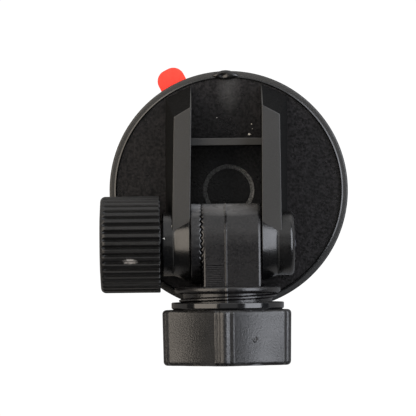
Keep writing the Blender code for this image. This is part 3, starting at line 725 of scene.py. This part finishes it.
# Rows crowd together at the rounded edges. From half a millimetre before the body the collar narrows,
# so that the body stands proud of it.
outer_length = np.concatenate([
    NUT_NECK_START + NECK_EDGE * (1 - np.cos(quarter)),
    np.linspace(NUT_NECK_START + 0.5, NUT_BODY_START - 0.05, 12),
    NUT_BODY_START + EDGE * (1 - np.cos(quarter)), np.linspace(NUT_BODY_START + 1.3, NUT_END - 1.3, 20),
    NUT_END - EDGE * (1 - np.sin(quarter))])[:, None]
from_neck_end = np.clip(NUT_NECK_START + NECK_EDGE - outer_length, 0, NECK_EDGE)
neck_drop = NECK_EDGE - np.sqrt(NECK_EDGE**2 - from_neck_end**2)
from_top = np.clip(NUT_BODY_START + EDGE - outer_length, 0, EDGE)
from_end = np.clip(outer_length - (NUT_END - EDGE), 0, EDGE)
body_drop = EDGE - np.sqrt(np.maximum(EDGE**2 - np.maximum(from_top, from_end) ** 2, 0))
draft = NUT_DRAFT * (outer_length - NUT_BODY_START)
taper = np.clip((outer_length - NUT_BODY_START + 0.5) / 0.8, 0, 1)
neck_radius = NUT_NECK - neck_drop - NECK_TAPER * taper * taper * (3 - 2 * taper)
body_radius = np.where(outer_length >= NUT_BODY_START, body_outline - body_drop - draft, 0)
outer_radius = np.maximum(neck_radius, body_radius)
inner_profile = rounded(
    [(NUT_END, 9.6), (NUT_END, 8.9), (NUT_END - 0.6, 8.2), (NUT_END - 1.4, 8.2), (NUT_END - 1.6, 9.6),
     (FINGER_TIP + 0.6, TIP_RADIUS + 0.6), (FINGER_START + 0.3, 12.4), (NUT_NECK_START, 12.4)],
    [0, 0.2, 0.2, 0.1, 0.1, 0.1, 0.5, 0.3], 4)[1:]
nut_grid = around(
    ABOUT_NECK,
    np.concatenate([outer_length + 0 * turn, inner_profile[:, :1] + 0 * turn]),
    np.concatenate([outer_radius, inner_profile[:, 1:] + 0 * turn]), turn)

# The gate on the nut's side: a snapped pin in a small raised ring.
GATE_TURN = np.radians(29)
GATE_LENGTH = 23.5
gate_radius = np.interp(GATE_TURN, turn[0], body_outline[0]) - NUT_DRAFT * (GATE_LENGTH - NUT_BODY_START)
gate_point = around(ABOUT_NECK, GATE_LENGTH, gate_radius, GATE_TURN)
gate_out = around(ABOUT_NECK, 0, 1, GATE_TURN) - ABOUT_NECK[0]
gate_side = np.cross(gate_out, (0, 1, 0))
spin = np.linspace(0, 2 * np.pi, 40, endpoint=False)[None]
SUNK_IN_NUT = -0.10
snapped_pin = rounded(
    [(0.85, SUNK_IN_NUT), (0.85, 0.06), (0.60, 0.14), (0.45, -0.04), (0.24, -0.04), (0.18, 0.18),
     (0, 0.20)],
    [0, 0.03, 0.05, 0.05, 0.03, 0.03, 0], 3)
snapped_pin = np.vstack([[(0, SUNK_IN_NUT)], snapped_pin])
wobble = 1 + 0.10 * np.sin(3 * spin + 0.6)
nut_gate = (gate_point + (snapped_pin[:, :1] * np.cos(spin) * wobble)[..., None] * gate_side
            + (snapped_pin[:, :1] * np.sin(spin) * wobble)[..., None] * np.array([0, 1, 0])
            + (snapped_pin[:, 1:] + 0 * spin)[..., None] * gate_out)

polished_nylon = moulded_plastic("polished_nylon", "#101011", "#131314", 0.12, 0.03, 1.2, 0.002)
textured_nylon = moulded_plastic("textured_nylon", "#090909", "#1C1C1D", 0.33, 0.05, 0.40, 0.080)


def polished_faces(centres, normals):
    """The collar is polished; the body below it is textured."""
    return HINGE[1] - centres[:, 1] > NUT_BODY_START - 0.1


piece("nut_moulding", [nut_grid, nut_gate], [True, False], "nut", ["collar_nut"],
      [polished_nylon, textured_nylon], polished_faces)

# ---------------------------------------------------------------------------------------------------
# Hinge bolt, washer and insert. A hexagon bolt in blackened steel, a bright zinc washer and a turned
# brass insert; only the bolt's head shows.
head_low, head_high = (np.array(corner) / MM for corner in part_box("hinge_bolt"))
HEAD_HALF_FLATS = 4.0
HEAD_HEIGHT = 3.45
SHANK_RADIUS = 2.5
turn = np.linspace(0, 2 * np.pi, 180, endpoint=False)[None]
hexagon = HEAD_HALF_FLATS / np.cos((turn % (np.pi / 3)) - np.pi / 6)
end = head_high[0]
HEAD_SEAT = end - HEAD_HEIGHT
head = np.concatenate([
    around(ABOUT_HINGE, HEAD_SEAT, 0 * turn, turn), around(ABOUT_HINGE, HEAD_SEAT, hexagon - 0.2, turn),
    around(ABOUT_HINGE, HEAD_SEAT + 0.2, hexagon, turn),
    around(ABOUT_HINGE, end - 0.25 - (hexagon - HEAD_HALF_FLATS) * 0.55, hexagon, turn),
    around(ABOUT_HINGE, end, 3.85 + 0 * turn, turn), around(ABOUT_HINGE, end, 3.0 + 0 * turn, turn),
    around(ABOUT_HINGE, end, 0 * turn, turn)])
shank_profile = rounded(
    [(head_low[0], 0), (head_low[0], SHANK_RADIUS), (HEAD_SEAT + 0.5, SHANK_RADIUS),
     (HEAD_SEAT + 0.5, 0)], [0, 0.5, 0, 0], 3)
shank = turned(ABOUT_HINGE, shank_profile, 64)


def plated(name, dark, light, roughness, metallic, ring_step):
    """Machined metal: fine rings about the hinge axis from the tool, under a plated or oiled skin."""
    material = bpy.data.materials.new(name)
    material.use_nodes = True
    tree = material.node_tree
    tree.nodes.clear()
    place = add(tree, "ShaderNodeTexCoord").outputs["Object"]
    centred = add(tree, "ShaderNodeMapping", {"Vector": place, "Location": tuple(-HINGE * MM)})
    # The texture repeats every tenth of pi at scale one, so rings stand 2 pi times the step apart.
    rings = add(tree, "ShaderNodeTexWave", {
        "Vector": centred.outputs["Vector"], "Scale": 1 / (ring_step * MM * 20), "Distortion": 0.4},
        wave_type="RINGS", rings_direction="X")
    stain = add(tree, "ShaderNodeTexNoise", {"Vector": place, "Scale": 500.0, "Detail": 4.0})
    tint = add(tree, "ShaderNodeMix", {"Factor": stain.outputs["Fac"]}, data_type="RGBA")
    tint.inputs[6].default_value = linear(dark)
    tint.inputs[7].default_value = linear(light)
    bump = add(tree, "ShaderNodeBump", {
        "Height": rings.outputs["Fac"], "Strength": 1.0, "Distance": 0.004 * MM})
    shader = add(tree, "ShaderNodeBsdfPrincipled", {
        "Base Color": tint.outputs[2], "Roughness": roughness, "Metallic": metallic,
        "Normal": bump.outputs["Normal"]})
    add(tree, "ShaderNodeOutputMaterial", {"Surface": shader.outputs["BSDF"]})
    return material


piece("hinge_bolt_steel", [head, shank], [False, False], "base",
      ["hinge_bolt"], [plated("black_oxide_steel", "#1A1A1C", "#2B2B2E", 0.38, 1.0, 0.12)])
for node, finish_of in (
    ("knob_washer", plated("zinc_plated_steel", "#9C9EA3", "#C2C4C9", 0.30, 1.0, 0.15)),
    ("knob_insert", plated("turned_brass", "#A8823C", "#C79C4E", 0.28, 1.0, 0.15)),
):
    part = frame["nodes"][node]
    part.data.materials.clear()
    part.data.materials.append(finish_of)

# ---------------------------------------------------------------------------------------------------
# Clamp knob. Black ABS: a cup with straight grip ribs that run out into a rounded outer end, moulded
# round the brass insert.
knob_low, knob_high = (np.array(corner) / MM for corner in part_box("clamp_knob"))
KNOB_RADIUS = 12.0
KNOB_CORNER = 1.3
KNOB_RIBS = 38
GROOVE_DEPTH = 0.75
KNOB_DOME = 0.25
KNOB_END_EDGE = 0.25
GROOVE_HALF = 0.32
FIRST_GROOVE = 0.32
KNOB_LENGTH = knob_high[0] - knob_low[0]
turn = np.linspace(0, 2 * np.pi, KNOB_RIBS * 16, endpoint=False)[None]
phase = (turn * KNOB_RIBS / (2 * np.pi) - FIRST_GROOVE) % 1.0
groove = np.clip(1 - np.abs(phase - 0.5) / GROOVE_HALF, 0, 1)
groove = groove * groove * (3 - 2 * groove)
quarter = np.linspace(0, np.pi / 2, 12)[:, None]
domed = np.array([[0.0, 0.0], [0.0, 4.0], [0.05, 7.0], [0.15, 9.0]])
corner_length = KNOB_DOME + KNOB_CORNER * (1 - np.cos(quarter))
corner_radius = KNOB_RADIUS - KNOB_CORNER * (1 - np.sin(quarter))
end_edge = quarter[::3]
knob_length = np.vstack([
    domed[:, :1], corner_length, np.linspace(2.0, KNOB_LENGTH - 0.35, 12)[:, None],
    KNOB_LENGTH - KNOB_END_EDGE * (1 - np.sin(end_edge))])
knob_radius = np.vstack([
    domed[:, 1:], corner_radius, np.full((12, 1), KNOB_RADIUS),
    KNOB_RADIUS - KNOB_END_EDGE * (1 - np.cos(end_edge))])
# The grooves start 0.75 mm from the outer end and are full 0.9 mm further on.
run_out = np.clip((knob_length - 0.75) / 0.9, 0, 1) ** 0.7
knob_outer = knob_radius - GROOVE_DEPTH * groove * run_out
RECESS = -18.5
RECESS_RADIUS = 5.3
CAVITY = -27.8
CAVITY_RADIUS = 4.3
cup_profile = np.array([
    (knob_high[0], RECESS_RADIUS + 0.15), (knob_high[0] - 0.15, RECESS_RADIUS), (RECESS, RECESS_RADIUS),
    (RECESS, CAVITY_RADIUS), (CAVITY, CAVITY_RADIUS), (CAVITY, 0)])
knob_grid = around(
    ABOUT_HINGE,
    np.concatenate([knob_low[0] + knob_length + 0 * turn, cup_profile[:, :1] + 0 * turn]),
    np.concatenate([knob_outer, cup_profile[:, 1:] + 0 * turn]), turn)


def scuffed_abs():
    """Dull black ABS, with a whitish rub mark across three ribs where the knob was knocked."""
    material = moulded_plastic("dull_abs", "#060606", "#121212", 0.40, 0.05, 0.40, 0.030, sheen=0.34)
    tree = material.node_tree
    shader = next(node for node in tree.nodes if node.type == "BSDF_PRINCIPLED")
    plain = shader.inputs["Base Color"].links[0].from_socket
    place = add(tree, "ShaderNodeTexCoord").outputs["Object"]
    scuff_centre = np.array([-24.6, HINGE[1] - 4.1, HINGE[2] + 11.2])
    scuff_size = (2.7, 0.95, 3)
    near = add(tree, "ShaderNodeMapping", {"Vector": place, "Location": tuple(-scuff_centre * MM)})
    near = add(tree, "ShaderNodeVectorMath", {
        "Vector": near.outputs["Vector"], 1: [1 / (s * MM) for s in scuff_size]}, operation="MULTIPLY")
    patch = add(tree, "ShaderNodeTexGradient", {"Vector": near.outputs["Vector"]},
                gradient_type="SPHERICAL")
    torn = add(tree, "ShaderNodeTexNoise", {"Vector": place, "Scale": 1600.0, "Detail": 4.0})
    both = add(tree, "ShaderNodeMath", {0: patch.outputs["Fac"], 1: torn.outputs["Fac"]},
               operation="MULTIPLY")
    mask = add(tree, "ShaderNodeMapRange", {
        "Value": both.outputs[0], "From Min": 0.12, "From Max": 0.30})
    rubbed = add(tree, "ShaderNodeMix", {"Factor": mask.outputs["Result"]}, data_type="RGBA")
    tree.links.new(plain, rubbed.inputs[6])
    rubbed.inputs[7].default_value = linear("#8C8986")
    tree.links.new(rubbed.outputs[2], shader.inputs["Base Color"])
    return material


piece("knob_moulding", [knob_grid], [False], "knob", ["clamp_knob"], [scuffed_abs()])

# ---------------------------------------------------------------------------------------------------
# Studio. The mount lies on a light table. To the camera it is burnt out to plain white; to all other
# rays it is a mid-grey sheet that glows behind the mount. Two soft boxes stand left and right, a dim
# panel hangs overhead and a broad one stands behind.
SHEET_HALF = 1.5
SHEET_LEVEL = -0.00002
GLOW_STARTS = 0.02
GLOW_IS_FULL = 0.08
GLOW = 0.75
sheet_mesh = bpy.data.meshes.new("light_table")
sheet_mesh.from_pydata(
    [(-SHEET_HALF, -SHEET_HALF, SHEET_LEVEL), (SHEET_HALF, -SHEET_HALF, SHEET_LEVEL),
     (SHEET_HALF, SHEET_HALF, SHEET_LEVEL), (-SHEET_HALF, SHEET_HALF, SHEET_LEVEL)], [], [(0, 1, 2, 3)])
light_table = bpy.data.objects.new("light_table", sheet_mesh)
bpy.context.scene.collection.objects.link(light_table)
table_finish = bpy.data.materials.new("white_acrylic")
table_finish.use_nodes = True
table = table_finish.node_tree
table.nodes.clear()
white = add(table, "ShaderNodeBsdfDiffuse", {"Color": linear("#929292")})
spot = add(table, "ShaderNodeSeparateXYZ", {0: add(table, "ShaderNodeTexCoord").outputs["Object"]})
lit_from_below = add(table, "ShaderNodeMapRange", {
    "Value": spot.outputs["Y"], "From Min": GLOW_STARTS, "From Max": GLOW_IS_FULL, "To Max": GLOW})
glow = add(table, "ShaderNodeEmission", {
    "Color": linear("#FFFFFF"), "Strength": lit_from_below.outputs["Result"]})
paper = add(table, "ShaderNodeAddShader", {0: white.outputs[0], 1: glow.outputs[0]})
burnt_out = add(table, "ShaderNodeEmission", {"Color": linear("#FFFFFF"), "Strength": 1.05})
seen = add(table, "ShaderNodeLightPath").outputs["Is Camera Ray"]
sheet = add(table, "ShaderNodeMixShader", {0: seen, 1: paper.outputs[0], 2: burnt_out.outputs[0]})
add(table, "ShaderNodeOutputMaterial", {"Surface": sheet.outputs[0]})
sheet_mesh.materials.append(table_finish)

world = bpy.data.worlds.new("studio")
bpy.context.scene.world = world
world.use_nodes = True
world.node_tree.nodes["Background"].inputs["Color"].default_value = linear("#BFC3CA")
world.node_tree.nodes["Background"].inputs["Strength"].default_value = 0.10


def soft_box(name, sideways, back, distance, width, height, radiance, colour):
    """An area light that faces the mount from sideways degrees towards +X and back degrees towards
    +Y off the zenith. Its power is radiance times area times pi."""
    lamp = bpy.data.lights.new(name, "AREA")
    lamp.shape = "RECTANGLE"
    lamp.size = width
    lamp.size_y = height
    lamp.energy = radiance * width * height * np.pi
    lamp.color = linear(colour)[:3]
    box = bpy.data.objects.new(name, lamp)
    across = np.radians(sideways)
    behind = np.radians(back)
    toward = Vector((np.sin(across) * np.cos(behind), np.sin(behind), np.cos(across) * np.cos(behind)))
    side = Vector((0, 1, 0)).cross(toward).normalized()
    box.matrix_world = Matrix((side, toward.cross(side), toward)).transposed().to_4x4()
    box.location = toward * distance
    bpy.context.scene.collection.objects.link(box)


soft_box("left_soft_box", -46, 12, 0.60, 0.56, 0.70, 4.0, "#FFF3E4")
soft_box("right_soft_box", 52, 12, 0.60, 0.40, 0.70, 6.4, "#F4F7FF")
soft_box("overhead_panel", 2, 11, 1.80, 1.20, 1.10, 0.50, "#FFFFFF")
soft_box("rear_panel", 0, 60, 1.00, 1.10, 1.20, 1.00, "#FFFFFF")
